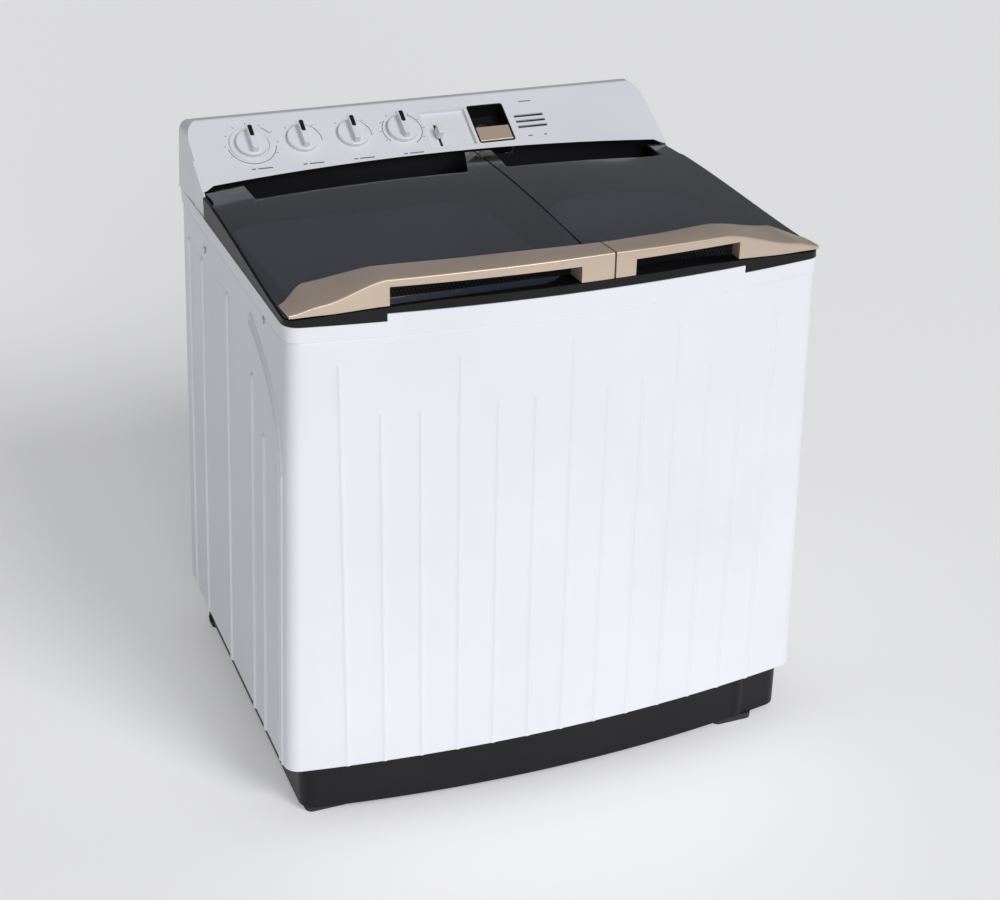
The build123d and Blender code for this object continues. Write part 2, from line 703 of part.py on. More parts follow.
# --- knobs and what they turn ----------------------------------------------------------------------
def make_knob(x):
    with BuildPart() as knob:
        with BuildSketch(on_panel(x, KNOB_S, 1.0)):
            Circle(KNOB_R)
        extrude(amount=7)
        fillet(knob.edges().sort_by(lambda e: e.center().dot(PANEL_PLANE.z_dir))[-1], 1.8)
        with BuildSketch(on_panel(x, KNOB_S, 6.0)):
            RectangleRounded(13, 50, 5)
        extrude(amount=15, taper=4)
        fillet(knob.faces().sort_by(lambda f: f.center().dot(PANEL_PLANE.z_dir))[-1].edges(), 1.2)
        with BuildSketch(on_panel(x, KNOB_S + 11, 19.8)):
            RectangleRounded(4, 18, 1)
        extrude(amount=4, mode=Mode.SUBTRACT)
        with BuildSketch(on_panel(x, KNOB_S)):
            Circle(PIN_R)
        extrude(amount=14, mode=Mode.SUBTRACT)
    return knob


def make_knob_shaft(x):
    with BuildPart() as shaft:
        with BuildSketch(on_panel(x, KNOB_S, -30)):
            Circle(PIN_R)
        extrude(amount=44)
    return shaft


def make_control(x, width, depth):
    """Body of a timer or switch, hung from the back of the panel."""
    with BuildPart() as control:
        with BuildSketch(on_panel(x, KNOB_S, -WALL - 0.05)):
            RectangleRounded(width, width, 6)
        extrude(amount=-depth)
        with BuildSketch(on_panel(x, KNOB_S)):
            Circle(PIN_R + RUN)
        extrude(amount=-31, mode=Mode.SUBTRACT)
        for side in (-1, 1):
            with BuildSketch(on_panel(x + side * 12, KNOB_S, -WALL - depth)):
                Rectangle(4, 10)
            extrude(amount=-7)
    return control


def make_dial_ring():
    with BuildPart() as dial_ring:
        with BuildSketch(on_panel(KNOB_X[0], KNOB_S, 0.05)):
            Circle(38.5)
            Circle(31.0, mode=Mode.SUBTRACT)
        extrude(amount=3.0)
        top = dial_ring.faces().sort_by(lambda f: f.center().dot(PANEL_PLANE.z_dir))[-1]
        chamfer(top.edges(), 1.0)
    return dial_ring


# --- wash side --------------------------------------------------------------------------------------
def make_wash_tub():
    with BuildPart() as wash_tub:
        with BuildSketch(Plane.XY.offset(WASH_FLOOR_Z)):
            with Locations((WASH_X, WASH_Y)):
                RectangleRounded(WASH_SIZE, WASH_SIZE, 70)
        extrude(amount=862 - WASH_FLOOR_Z)
        with BuildSketch(Plane.XY.offset(WASH_FLOOR_Z + 3)):
            with Locations((WASH_X, WASH_Y)):
                RectangleRounded(WASH_SIZE - 6, WASH_SIZE - 6, 67)
        extrude(amount=500, mode=Mode.SUBTRACT)
        cylinder(WASH_X, WASH_Y, WASH_FLOOR_Z - 1, WASH_FLOOR_Z + 5, 20, mode=Mode.SUBTRACT)
        cylinder(DRAIN_X, DRAIN_PIPE_Y, WASH_FLOOR_Z - 1, WASH_FLOOR_Z + 5, 16, mode=Mode.SUBTRACT)
    return wash_tub


def make_pulsator():
    z = WASH_FLOOR_Z + 8
    with BuildPart() as pulsator:
        cylinder(WASH_X, WASH_Y, z, z + 10, 165)
        fillet(pulsator.edges().sort_by(Axis.Z)[-1], 4)
        with BuildSketch(Plane.XY.offset(z + 8)):
            with Locations((WASH_X, WASH_Y)):
                with PolarLocations(82, 6):
                    SlotOverall(128, 18)
        extrude(amount=22, taper=14)
        cylinder(WASH_X, WASH_Y, z, z + 36, 26)
        cylinder(WASH_X, WASH_Y, z - 1, z + 24, WASH_SHAFT_R, mode=Mode.SUBTRACT)
        cylinder(WASH_X, WASH_Y, z, z + 40, 3.0, mode=Mode.SUBTRACT)
    return pulsator


def make_pulsator_screw():
    z = WASH_FLOOR_Z + 44
    with BuildPart() as pulsator_screw:
        cylinder(WASH_X, WASH_Y, z, z + 3, 7)
        cylinder(WASH_X, WASH_Y, z - 12, z, 2.95)
    return pulsator_screw


def make_wash_shaft():
    with BuildPart() as wash_shaft:
        cylinder(WASH_X, WASH_Y, 228, WASH_FLOOR_Z + 32, WASH_SHAFT_R)
    return wash_shaft


def make_shaft_seal():
    with BuildPart() as shaft_seal:
        cylinder(WASH_X, WASH_Y, WASH_FLOOR_Z, WASH_FLOOR_Z + 5, 19.9)
        cylinder(WASH_X, WASH_Y, WASH_FLOOR_Z - 1, WASH_FLOOR_Z + 6, WASH_SHAFT_R + RUN, mode=Mode.SUBTRACT)
    return shaft_seal


def make_wash_gearbox():
    with BuildPart() as wash_gearbox:
        cylinder(WASH_X, WASH_Y, 285, WASH_FLOOR_Z - 0.1, 58)
        cylinder(WASH_X, WASH_Y, WASH_FLOOR_Z - 8, WASH_FLOOR_Z - 0.1, 82)
        cylinder(WASH_X, WASH_Y, 270, 285, 24)
        cylinder(WASH_X, WASH_Y, 260, WASH_FLOOR_Z + 1, WASH_SHAFT_R + RUN, mode=Mode.SUBTRACT)
    return wash_gearbox


def make_pulley(x, y, radius, bore):
    """V pulley: two flanges and a grooved rim."""
    with BuildPart() as pulley:
        with BuildSketch(Plane.XZ) as profile:
            Polygon((bore, -10), (radius, -10), (radius, -7), (radius - 8, -3), (radius - 8, 3), (radius, 7),
                    (radius, 10), (bore, 10), align=None)
        revolve(axis=Axis.Z)
    pulley.part.position = (x, y, PULLEY_Z)
    return pulley


def make_wash_belt():
    """Belt round both pulleys, just clear of their grooves."""
    with BuildPart() as wash_belt:
        with BuildSketch(Plane.XY.offset(PULLEY_Z - 2.4)):
            belt_loop(5.5, Mode.ADD)
            belt_loop(-7.6, Mode.SUBTRACT)
        extrude(amount=4.8)
    return wash_belt


def belt_loop(grow, mode):
    """Loop of two arcs and two tangents, in the active sketch."""
    big, small = BIG_PULLEY_R + grow, SMALL_PULLEY_R + grow
    distance = WASH_X - MOTOR_X
    sine = (big - small) / distance
    cosine = (1 - sine * sine) ** 0.5
    top_big = (WASH_X - big * sine, WASH_Y + big * cosine)
    top_small = (MOTOR_X - small * sine, WASH_Y + small * cosine)
    low_big = (top_big[0], 2 * WASH_Y - top_big[1])
    low_small = (top_small[0], 2 * WASH_Y - top_small[1])
    with BuildSketch(mode=Mode.PRIVATE) as loop:
        with BuildLine():
            ThreePointArc(top_big, (WASH_X + big, WASH_Y), low_big)
            Line(low_big, low_small)
            ThreePointArc(low_small, (MOTOR_X - small, WASH_Y), top_small)
            Line(top_small, top_big)
        make_face()
    add(loop.sketch, mode=mode)


def make_motor(x, y, radius, low, high, bore):
    with BuildPart() as motor:
        cylinder(x, y, low, high, radius)
        fillet(motor.edges().group_by(Axis.Z)[-1], 8)
        fillet(motor.edges().group_by(Axis.Z)[0], 8)
        cylinder(x, y, high - 1, high + 4, 18)
        cylinder(x, y, low + 20, high + 6, bore, mode=Mode.SUBTRACT)
    return motor


def make_motor_mounts():
    low = FLOOR_TO_CABINET + 0.1
    with BuildPart() as motor_mounts:
        for x, y, radius, high in ((MOTOR_X, WASH_Y, 44.0, 109.9), (SPIN_X, SPIN_Y, 50.0, 111.9)):
            with Locations((x, y, (low + high) / 2)):
                with PolarLocations(radius, 3):
                    Cylinder(11, high - low)
    return motor_mounts


def make_wash_motor_shaft():
    with BuildPart() as wash_motor_shaft:
        cylinder(MOTOR_X, WASH_Y, 140, 262, WASH_MOTOR_SHAFT_R)
    return wash_motor_shaft


def make_lint_filter_guide():
    with BuildPart() as guide:
        box(-262, -128, 112, 136.5, 500, 720)
        box(-256, -134, 106, 130, 506, 730, mode=Mode.SUBTRACT)
        box(-250, -140, 120, 140, 560, 730, mode=Mode.SUBTRACT)
    return guide


def make_lint_filter():
    with BuildPart() as lint_filter:
        box(-255.5, -134.5, 114, 129.5, 507, 726)
        box(-250, -140, 117, 127, 512, 715, mode=Mode.SUBTRACT)
        with BuildSketch(Plane.XZ.offset(-100)):
            with Locations((-195, 605)):
                with GridLocations(18, 22, 6, 8):
                    Rectangle(12, 16)
        extrude(amount=-40, mode=Mode.SUBTRACT)
    return lint_filter


def make_drain_valve():
    with BuildPart() as drain_valve:
        cylinder(DRAIN_X, DRAIN_PIPE_Y, 335, WASH_FLOOR_Z - 0.1, 26)
        cylinder(DRAIN_X, DRAIN_PIPE_Y, 334, WASH_FLOOR_Z + 1, 20, mode=Mode.SUBTRACT)
        cylinder(DRAIN_X, DRAIN_PIPE_Y, 335, 339, 26)
        cylinder(DRAIN_X, DRAIN_PIPE_Y, 330, 345, 13, mode=Mode.SUBTRACT)
    return drain_valve


def make_drain_pipe():
    """Pipe from the valve to a hose spigot at the back."""
    spigot_r, spigot_length = DRAIN_SPIGOT
    top = 334.8
    with BuildPart() as drain_pipe:
        with BuildLine() as route:
            FilletPolyline((DRAIN_X, DRAIN_PIPE_Y, top), (DRAIN_X, DRAIN_PIPE_Y, DRAIN_PIPE_Z),
                           (DRAIN_X, REAR_Y, DRAIN_PIPE_Z), radius=35)
        with BuildSketch(Plane((DRAIN_X, DRAIN_PIPE_Y, top), z_dir=(0, 0, -1))):
            Circle(spigot_r - 1.5)
            Circle(spigot_r - 4.0, mode=Mode.SUBTRACT)
        sweep(path=route.line)
        with BuildSketch(Plane.XZ.offset(-REAR_Y)):
            with Locations((DRAIN_X, DRAIN_PIPE_Z)):
                Circle(spigot_r)
                Circle(spigot_r - 4.0, mode=Mode.SUBTRACT)
        extrude(amount=spigot_length)
    return drain_pipe


# --- spin side -------------------------------------------------------------------------------------
def make_spin_tub():
    with BuildPart() as spin_tub:
        cylinder(SPIN_X, SPIN_Y, SPIN_FLOOR_Z, 862, SPIN_TUB_R)
        cylinder(SPIN_X, SPIN_Y, SPIN_FLOOR_Z + 3, 863, SPIN_TUB_R - 3, mode=Mode.SUBTRACT)
        cylinder(SPIN_X, SPIN_Y, SPIN_FLOOR_Z - 1, SPIN_FLOOR_Z + 5, 34, mode=Mode.SUBTRACT)
    return spin_tub


def make_spin_basket():
    low, high = 386.0, 800.0
    with BuildPart() as spin_basket:
        cylinder(SPIN_X, SPIN_Y, low, high, BASKET_R)
        cylinder(SPIN_X, SPIN_Y, low + 3, high - 6, BASKET_R - 2, mode=Mode.SUBTRACT)
        cylinder(SPIN_X, SPIN_Y, high - 7, high + 1, BASKET_R - 14, mode=Mode.SUBTRACT)
        cylinder(SPIN_X, SPIN_Y, low - 18, low + 24, 24)
        cylinder(SPIN_X, SPIN_Y, low - 19, low + 12, SPIN_SHAFT_R, mode=Mode.SUBTRACT)
        for i in range(5):
            with Locations((SPIN_X, SPIN_Y, 440 + 70 * i)):
                with PolarLocations(BASKET_R, 14):
                    Cylinder(4, 20, rotation=(0, 90, 0), mode=Mode.SUBTRACT)
    return spin_basket


def make_spin_shaft():
    with BuildPart() as spin_shaft:
        cylinder(SPIN_X, SPIN_Y, 140, 398, SPIN_SHAFT_R)
    return spin_shaft


def make_bellows_seal():
    with BuildPart() as bellows_seal:
        with BuildSketch(Plane.XZ):
            Polygon((SPIN_SHAFT_R + RUN, 300), (20, 300), (20, 308), (28, 314), (20, 320), (28, 326),
                    (44, 329.9), (44, 326.5), (34, 324), (28, 320), (34, 314), (26, 308), (26, 296),
                    (SPIN_SHAFT_R + RUN, 296), align=None)
        revolve(axis=Axis.Z)
    bellows_seal.part.position = (SPIN_X, SPIN_Y, 0)
    return bellows_seal


def make_brake_drum():
    with BuildPart() as brake_drum:
        cylinder(SPIN_X, SPIN_Y, 240, 268, 52)
        cylinder(SPIN_X, SPIN_Y, 248, 269, 46, mode=Mode.SUBTRACT)
        cylinder(SPIN_X, SPIN_Y, 240, 268, 18)
        cylinder(SPIN_X, SPIN_Y, 230, 270, SPIN_SHAFT_R, mode=Mode.SUBTRACT)
    return brake_drum


def make_brake_lever():
    px, py = BRAKE_PIVOT
    with BuildPart() as brake_lever:
        box(px - 7, px + 7, py - 70, py + 10, 250, 256)
        cylinder(px, py, 246, 260, 9)
        box(px - 40.5, px - 6, py - 34, py - 18, 250, 256)
        cylinder(px, py, 240, 264, 4.05, mode=Mode.SUBTRACT)
    return brake_lever


def make_brake_pivot():
    px, py = BRAKE_PIVOT
    with BuildPart() as brake_pivot:
        cylinder(px, py, 92, 245, 7)
        cylinder(px, py, 244, 266, 4)
    return brake_pivot


# --- list of pieces ---------------------------------------------------------------------------------
def build_all():
    pieces = {
        "cabinet": make_cabinet(),
        "back_panel": make_back_panel(),
        "cord_gland": make_cord_gland(),
        "plinth": make_plinth(),
        "feet": make_feet(),
        "screws": make_screws(),
        "top_cover": make_top_cover(),
        "lid_frame": make_lid_frame(),
        "wash_lid": make_wash_lid(),
        "wash_lid_handle": make_wash_lid_handle(),
        "wash_grip_liner": make_grip_liner(WASH_GRIP),
        "lid_hinge_pins": make_hinge_pins(),
        "spin_lid": make_spin_lid(),
        "spin_lid_handle": make_spin_lid_handle(),
        "spin_grip_liner": make_grip_liner(SPIN_GRIP),
        "console": make_console(),
        "selector_bezel": make_selector_bezel(),
        "selector_lever": make_selector_lever(),
        "inlet_liner": make_inlet_liner(),
        "inlet_flap": make_inlet_flap(),
        "console_pins": make_console_pins(),
        "water_diverter": make_water_diverter(),
        "wash_timer_dial_ring": make_dial_ring(),
        "wash_tub": make_wash_tub(),
        "pulsator": make_pulsator(),
        "pulsator_screw": make_pulsator_screw(),
        "wash_shaft": make_wash_shaft(),
        "wash_shaft_seal": make_shaft_seal(),
        "wash_gearbox": make_wash_gearbox(),
        "wash_pulley": make_pulley(WASH_X, WASH_Y, BIG_PULLEY_R, WASH_SHAFT_R),
        "motor_pulley": make_pulley(MOTOR_X, WASH_Y, SMALL_PULLEY_R, WASH_MOTOR_SHAFT_R),
        "wash_belt": make_wash_belt(),
        "wash_motor": make_motor(MOTOR_X, WASH_Y, 62.0, 110.0, 222.0, WASH_MOTOR_SHAFT_R + RUN),
        "lint_filter_guide": make_lint_filter_guide(),
        "lint_filter": make_lint_filter(),
        "drain_valve": make_drain_valve(),
        "drain_pipe": make_drain_pipe(),
        "spin_tub": make_spin_tub(),
        "spin_basket": make_spin_basket(),
        "spin_shaft": make_spin_shaft(),
        "bellows_seal": make_bellows_seal(),
        "brake_drum": make_brake_drum(),
        "brake_lever": make_brake_lever(),
        "brake_pivot": make_brake_pivot(),
        "spin_motor": make_motor(SPIN_X, SPIN_Y, 70.0, 112.0, 228.0, SPIN_SHAFT_R + RUN),
        "wash_motor_shaft": make_wash_motor_shaft(),
        "motor_mounts": make_motor_mounts(),
    }
    for x, (name, (width, depth)) in zip(KNOB_X, CONTROLS):
        pieces[name] = make_control(x, width, depth)
        pieces[name + "_knob"] = make_knob(x)
        pieces[name + "_shaft"] = make_knob_shaft(x)
    return pieces


def main():
    os.makedirs("parts", exist_ok=True)
    for name, piece in build_all().items():
        piece.part.label = name
        export_step(piece.part, f"parts/{name}.step")


main()
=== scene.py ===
"""Looks of the twin tub washer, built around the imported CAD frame. Metres, +Z up, front faces -Y."""

import json
import math

import bmesh
import bpy
from mathutils import Matrix, Vector


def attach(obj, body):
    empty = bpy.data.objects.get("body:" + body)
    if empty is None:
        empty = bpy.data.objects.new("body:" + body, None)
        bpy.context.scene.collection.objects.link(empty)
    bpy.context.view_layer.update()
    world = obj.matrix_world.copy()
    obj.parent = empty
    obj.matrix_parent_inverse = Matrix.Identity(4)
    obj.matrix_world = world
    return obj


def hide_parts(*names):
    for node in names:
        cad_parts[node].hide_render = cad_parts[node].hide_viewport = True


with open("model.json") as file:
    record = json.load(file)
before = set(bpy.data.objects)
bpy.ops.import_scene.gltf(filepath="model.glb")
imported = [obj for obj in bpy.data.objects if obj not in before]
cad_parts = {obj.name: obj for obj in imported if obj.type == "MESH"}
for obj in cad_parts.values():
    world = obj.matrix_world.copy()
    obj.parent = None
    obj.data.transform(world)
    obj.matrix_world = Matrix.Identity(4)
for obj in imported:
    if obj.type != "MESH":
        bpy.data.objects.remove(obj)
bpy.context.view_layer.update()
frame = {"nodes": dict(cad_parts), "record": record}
scene = bpy.context.scene

# --- camera ---------------------------------------------------------------------------
CAMERA_AT = Vector((-1.1479, -2.7754, 1.908))
CAMERA_FORWARD = Vector((0.35203, 0.82722, -0.43794)).normalized()
CAMERA_ROLL = math.radians(1.1548)
LENS, SENSOR = 67.82, 36.0

# --- stage ----------------------------------------------------------------------------
FLOOR_HALF = 12.0
FLOOR_COLOUR = (0.93, 0.93, 0.94, 1.0)
FLOOR_ROUGHNESS = 0.6
FLOOR_GLOW = 0.22
SKY_COLOUR = (0.94, 0.95, 1.0, 1.0)
SKY_STRENGTH = 0.22
SUN_SPREAD = math.radians(24.0)
SUNS = (("key", (0.32, -0.80, 0.62), 1.42),         # name, towards, strength
        ("fill", (-0.15, -0.96, 0.32), 0.90))
GRAIN_DEPTH = 0.0003

# --- cabinet, in millimetres as in the CAD part ---------------------------------------
MM = 0.001
CABINET_LOW, SEAM_Z = 92.0, 842.0
HALF_LOW, HALF_SEAM = 471.0, 447.3      # half the width, at the bottom and at the seam
BOW_LOW, BOW_SEAM = 42.5, 41.3          # how far the front bows out
FRONT_Y, REAR_Y = -330.5, 371.0         # front corners and back
REAR_TAPER = 18.0                       # how much each side draws in towards the back
FRONT_RADIUS, REAR_RADIUS = 27.0, 18.0
WALL = 2.8
BOTTOM_LIP = 46.0
SEAM_GROOVE, SEAM_SLOPE = 1.6, 0.55
BACK_HOLE_HALF = 298.0
BACK_HOLE_LOW, BACK_HOLE_HIGH = 117.0, 528.0

RIB_COUNT, RIB_PITCH, MIDDLE_RIB_X = 13, 61.5, -3.3
TALL_RIB, SHORT_RIB = 806.0, 721.0      # heights of the ribs' upper ends
FRONT_RIBS = [(MIDDLE_RIB_X + RIB_PITCH * (i - RIB_COUNT // 2), SHORT_RIB if i % 3 else TALL_RIB)
              for i in range(RIB_COUNT)]
SIDE_RIBS = ((312.0, 790.0), (214.0, 787.0), (37.0, 790.0),
             (-126.0, 714.0), (-196.0, 640.0))      # y, upper end
FLUTE = ((-112.0, 792.0), (-152.0, 777.0), (-190.0, 757.0), (-224.0, 735.0), (-250.0, 711.0),
         (-270.0, 680.0), (-282.0, 645.0), (-288.0, 600.0), (-290.0, CABINET_LOW))      # y, z
FLUTE_GAP = 16.0                        # from one flute to the one beside it
FRONT_RIB = (11.0, 1.55, 0.0)           # width, height, flat top
SIDE_RIB = (14.0, 3.3, 6.0)
FLUTE_RIB = (12.0, 2.9, 2.0)

FRONT_STEP, FRONT_END = 20.0, 415.0     # stations of the shell's mesh
FINE_SIDE, FINE_SIDE_STEP = (-304.0, -98.0), 2.8        # the part of the side that carries the flutes
PLAIN_SIDE = {-88.0, 352.0}
PLAIN_ROWS_TO, PLAIN_ROW_STEP = 590.0, 30.0
FINE_ROWS_TO, FINE_ROW_STEP = 812.0, 3.0
TOP_ROWS = {820.0, 830.0, SEAM_Z - SEAM_GROOVE, SEAM_Z - SEAM_GROOVE / 2, SEAM_Z}
REAR_COLUMNS = (400.0, 350.0, BACK_HOLE_HALF, 200.0, 100.0, 0.0)
CLOSEST = 0.3

# --- lids and handles -----------------------------------------------------------------
LID_HALF = 446.0
LID_SECTIONS = ((-400.0, 880.0, 899.0), (-233.0, 883.0, 908.0), (-68.5, 894.0, 920.0),
                (71.5, 902.5, 926.0), (262.0, 903.0, 925.0))        # y, side z, centre z
LID_FRONT_Y = -328.6
COVER_HALF = 450.0
GRIP_TOP, GRIP_BACK = 919.0, -329.8
WASH_GRIP, SPIN_GRIP = (-296.0, 4.0), (96.0, 283.0)
WASH_HANDLE = ((-443.0, 880.5, 886.0, -278.0), (-395.0, 883.0, 899.0, -236.0),
               (-303.0, 889.5, 931.0, -283.5), (-150.0, 893.0, 933.0, -300.0),
               (58.5, 893.0, 935.0, -313.5))        # x, low, crest, rear
SPIN_HANDLE = ((61.5, 893.0, 935.0, -313.5), (150.0, 893.0, 934.0, -305.5),
               (261.0, 892.0, 933.0, -288.5), (395.0, 883.0, 899.0, -240.0),
               (443.0, 880.5, 886.0, -278.0))
HANDLE_SETBACK = 1.0                    # handle's front behind the cover's front
HANDLE_RADIUS = 3.0
HANDLE_SAG = 0.6
HANDLE_REAR_DROP = 5.0
LID_GAP, LINER_GAP = 0.35, 0.3
FOOT_LIFT = 1.6                         # handle's foot over the lower edge of the grip liner
HANDLE_STEP, GRIP_STEP = 6.0, 10.0
HANDLE_BEVEL = 0.8

CELL_PITCH = 6.4
CELL_BASE, CELL_FACE = CELL_PITCH * 0.55, CELL_PITCH * 0.36     # hexagon radii at the plate and at the front
LINER_LOW, LINER_HIGH = 893.7, GRIP_TOP - 0.4
LINER_END_GAP = 0.4
PLATE_BACK, PLATE_FRONT, CELL_FRONT = GRIP_BACK - 0.4, GRIP_BACK - 1.3, GRIP_BACK - 3.0

# --- console --------------------------------------------------------------------------
PANEL_ANGLE = math.radians(33.4)
PANEL_Y, PANEL_Z = 193.5, 909.0
KNOB_S = 90.0                           # knobs' distance up the panel
DIALS = (("wash_timer", -326.0, 42.5, ((35, 60), (100, 262))),
         ("wash_selector", -234.7, 34.0, ((20, 100),)),
         ("drain_selector", -143.4, 34.0, ((20, 100),)),
         ("spin_timer", -52.0, 36.0, ((-130, -50), (30, 150))))     # name, x, arc radius, arc spans
TIMER_TICKS, SELECTOR_TICKS = range(-120, 121, 30), (-40, 40)
TICK_FROM, TICK_TO, TICK_WIDTH = 2.0, 6.0, 1.0
ARC_WIDTH = 1.3
LABEL_S, LABEL_BARS, LABEL_WIDTH = 36.0, ((-13.0, -6.0), (-2.0, 24.0)), 2.4
OTHER_BARS = ((183.0, 207.0, 128.0, 2.2), (176.0, 184.0, 48.0, 2.4),
              (206.0, 212.0, 48.0, 2.4))            # x from, x to, s, width
INK_LIFT, INK_HEIGHT = 0.02, 0.25
POINTER_WIDTH, POINTER_ROUND = 7.6, 2.0
POINTER_LOW, POINTER_HIGH = 2.5, 26.0
POINTER_LEVELS = ((19.6, 1.0), (21.1, 1.0), (21.6, 0.86))           # height, share of the width


# --- camera and stage -----------------------------------------------------------------
def make_camera():
    data = bpy.data.cameras.new("camera")
    data.lens = LENS
    data.sensor_width = SENSOR
    camera = bpy.data.objects.new("camera", data)
    scene.collection.objects.link(camera)
    right = CAMERA_FORWARD.cross(Vector((0, 0, 1))).normalized()
    up = right.cross(CAMERA_FORWARD)
    x_axis = right * math.cos(CAMERA_ROLL) + up * math.sin(CAMERA_ROLL)
    y_axis = up * math.cos(CAMERA_ROLL) - right * math.sin(CAMERA_ROLL)
    matrix = Matrix((x_axis, y_axis, -CAMERA_FORWARD)).transposed().to_4x4()
    matrix.translation = CAMERA_AT
    camera.matrix_world = matrix
    scene.camera = camera


def make_stage():
    bm = bmesh.new()
    bmesh.ops.create_grid(bm, x_segments=2, y_segments=2, size=FLOOR_HALF)
    mesh = bpy.data.meshes.new("floor")
    bm.to_mesh(mesh)
    bm.free()
    floor = bpy.data.objects.new("floor", mesh)
    scene.collection.objects.link(floor)
    floor.data.materials.append(floor_material())
    world = bpy.data.worlds.new("studio")
    world.use_nodes = True
    background = world.node_tree.nodes["Background"]
    background.inputs["Color"].default_value = SKY_COLOUR
    background.inputs["Strength"].default_value = SKY_STRENGTH
    scene.world = world
    scene.view_settings.view_transform = "Standard"
    for name, towards, strength in SUNS:
        add_sun(name, towards, strength)


def add_sun(name, towards, strength):
    data = bpy.data.lights.new(name, "SUN")
    data.energy = strength
    data.angle = SUN_SPREAD
    light = bpy.data.objects.new(name, data)
    light.rotation_mode = "QUATERNION"
    light.rotation_quaternion = Vector(towards).to_track_quat("Z", "Y")
    scene.collection.objects.link(light)


def floor_material():
    material = bpy.data.materials.new("floor")
    material.use_nodes = True
    shader = material.node_tree.nodes["Principled BSDF"]
    shader.inputs["Base Color"].default_value = FLOOR_COLOUR
    shader.inputs["Roughness"].default_value = FLOOR_ROUGHNESS
    shader.inputs["Emission Color"].default_value = (1.0, 1.0, 1.0, 1.0)
    shader.inputs["Emission Strength"].default_value = FLOOR_GLOW
    return material


# --- materials ------------------------------------------------------------------------
def surface(name, dark, light, rough=(0.3, 0.45), noise=4.0, grain=600.0, bump=0.1, **sockets):
    """Moulded or painted surface: slow colour drift, fine grain bump and uneven roughness."""
    material = bpy.data.materials.new(name)
    material.use_nodes = True
    nodes, links = material.node_tree.nodes, material.node_tree.links
    shader = nodes["Principled BSDF"]
    coords = nodes.new("ShaderNodeTexCoord")
    slow = nodes.new("ShaderNodeTexNoise")
    slow.inputs["Scale"].default_value = noise
    slow.inputs["Detail"].default_value = 4.0
    ramp = nodes.new("ShaderNodeValToRGB")
    ramp.color_ramp.elements[0].position = 0.3
    ramp.color_ramp.elements[1].position = 0.7
    ramp.color_ramp.elements[0].color = (*dark, 1.0)
    ramp.color_ramp.elements[1].color = (*light, 1.0)
    fine = nodes.new("ShaderNodeTexNoise")
    fine.inputs["Scale"].default_value = grain
    fine.inputs["Detail"].default_value = 3.0
    roughness = nodes.new("ShaderNodeMapRange")
    roughness.inputs["To Min"].default_value = rough[0]
    roughness.inputs["To Max"].default_value = rough[1]
    relief = nodes.new("ShaderNodeBump")
    relief.inputs["Strength"].default_value = bump
    relief.inputs["Distance"].default_value = GRAIN_DEPTH
    links.new(coords.outputs["Object"], slow.inputs["Vector"])
    links.new(coords.outputs["Object"], fine.inputs["Vector"])
    links.new(slow.outputs["Fac"], ramp.inputs["Fac"])
    links.new(ramp.outputs["Color"], shader.inputs["Base Color"])
    links.new(fine.outputs["Fac"], roughness.inputs["Value"])
    links.new(roughness.outputs["Result"], shader.inputs["Roughness"])
    links.new(fine.outputs["Fac"], relief.inputs["Height"])
    links.new(relief.outputs["Normal"], shader.inputs["Normal"])
    for socket, value in sockets.items():
        shader.inputs[socket.replace("_", " ")].default_value = value
    return material


def make_materials():
    return {
        "white_plastic": surface("white_plastic", (0.74, 0.745, 0.80), (0.78, 0.785, 0.84), (0.32, 0.42),
                                 Coat_Weight=0.15, Coat_Roughness=0.2),
        "zinc_sheet": surface("zinc_sheet", (0.42, 0.43, 0.45), (0.55, 0.56, 0.58), (0.35, 0.5),
                              noise=40.0, Metallic=0.85),
        "black_plastic": surface("black_plastic", (0.006, 0.006, 0.007), (0.010, 0.010, 0.012), (0.36, 0.5),
                                 Specular_IOR_Level=0.22),
        "smoked_plastic": surface("smoked_plastic", (0.27, 0.28, 0.32), (0.30, 0.31, 0.35), (0.07, 0.11),
                                  bump=0.02, Transmission_Weight=0.92, IOR=1.42),
        "gold_paint": surface("gold_paint", (0.55, 0.44, 0.355), (0.61, 0.49, 0.395), (0.30, 0.38),
                              grain=1500.0, Metallic=0.40),
        "rubber": surface("rubber", (0.012, 0.012, 0.012), (0.022, 0.022, 0.022), (0.6, 0.8), bump=0.3),
        "steel": surface("steel", (0.5, 0.51, 0.53), (0.6, 0.61, 0.63), (0.25, 0.4), Metallic=1.0),
        "motor_iron": surface("motor_iron", (0.05, 0.05, 0.055), (0.08, 0.08, 0.085), (0.5, 0.65), bump=0.3),
        "cast_aluminium": surface("cast_aluminium", (0.5, 0.5, 0.51), (0.6, 0.6, 0.61), (0.45, 0.6),
                                  bump=0.4, Metallic=1.0),
        "tub_plastic": surface("tub_plastic", (0.55, 0.62, 0.74), (0.60, 0.67, 0.79), (0.3, 0.4)),
        "ink": surface("ink", (0.13, 0.14, 0.18), (0.18, 0.19, 0.23), (0.5, 0.6)),
        "grey_plastic": surface("grey_plastic", (0.22, 0.225, 0.235), (0.27, 0.275, 0.285), (0.45, 0.6)),
    }


def dress_nodes(materials):
    """Gives every CAD node the finish of its material slot."""
    slots = {row["node"]: row["material_slot"] for row in frame["record"]["subparts"]}
    for name, node in frame["nodes"].items():
        node.data.materials.clear()
        node.data.materials.append(materials[slots[name]])


